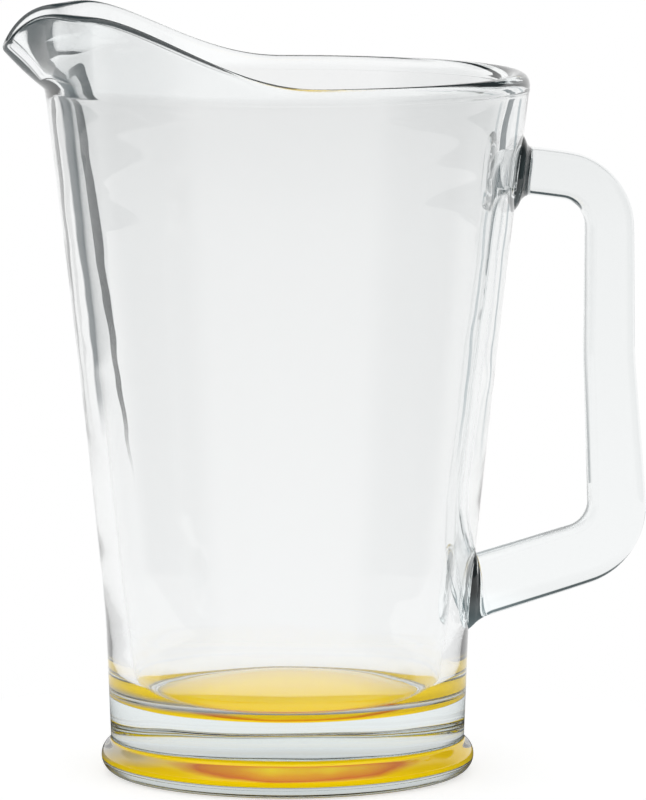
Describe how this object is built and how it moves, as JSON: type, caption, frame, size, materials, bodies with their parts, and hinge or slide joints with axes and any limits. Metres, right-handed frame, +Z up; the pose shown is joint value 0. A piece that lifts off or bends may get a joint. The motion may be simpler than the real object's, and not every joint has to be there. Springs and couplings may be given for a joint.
{
  "type": "beer pitcher",
  "caption": "Clear glass beer pitcher with a tapered bowl, raised pouring spout, loop handle and a heavy base coated amber underneath.",
  "frame": {"origin": "centre of the standing ring, on the table and on the bowl's axis", "axes": "+Z up along the bowl's axis, +X towards the handle, -X towards the spout"},
  "size_m": [0.1889, 0.1418, 0.225],
  "materials": {
    "clear_glass": "fire-polished clear soda-lime glass",
    "amber_coat": "translucent amber coat sprayed on the underside"
  },
  "bodies": {
    "root": {"bowl": "clear_glass", "foot": "clear_glass", "rim": "clear_glass", "spout": "clear_glass", "handle": "clear_glass", "upper_weld": "clear_glass", "lower_weld": "clear_glass", "amber_coat": "amber_coat"}
  },
  "joints": []
}
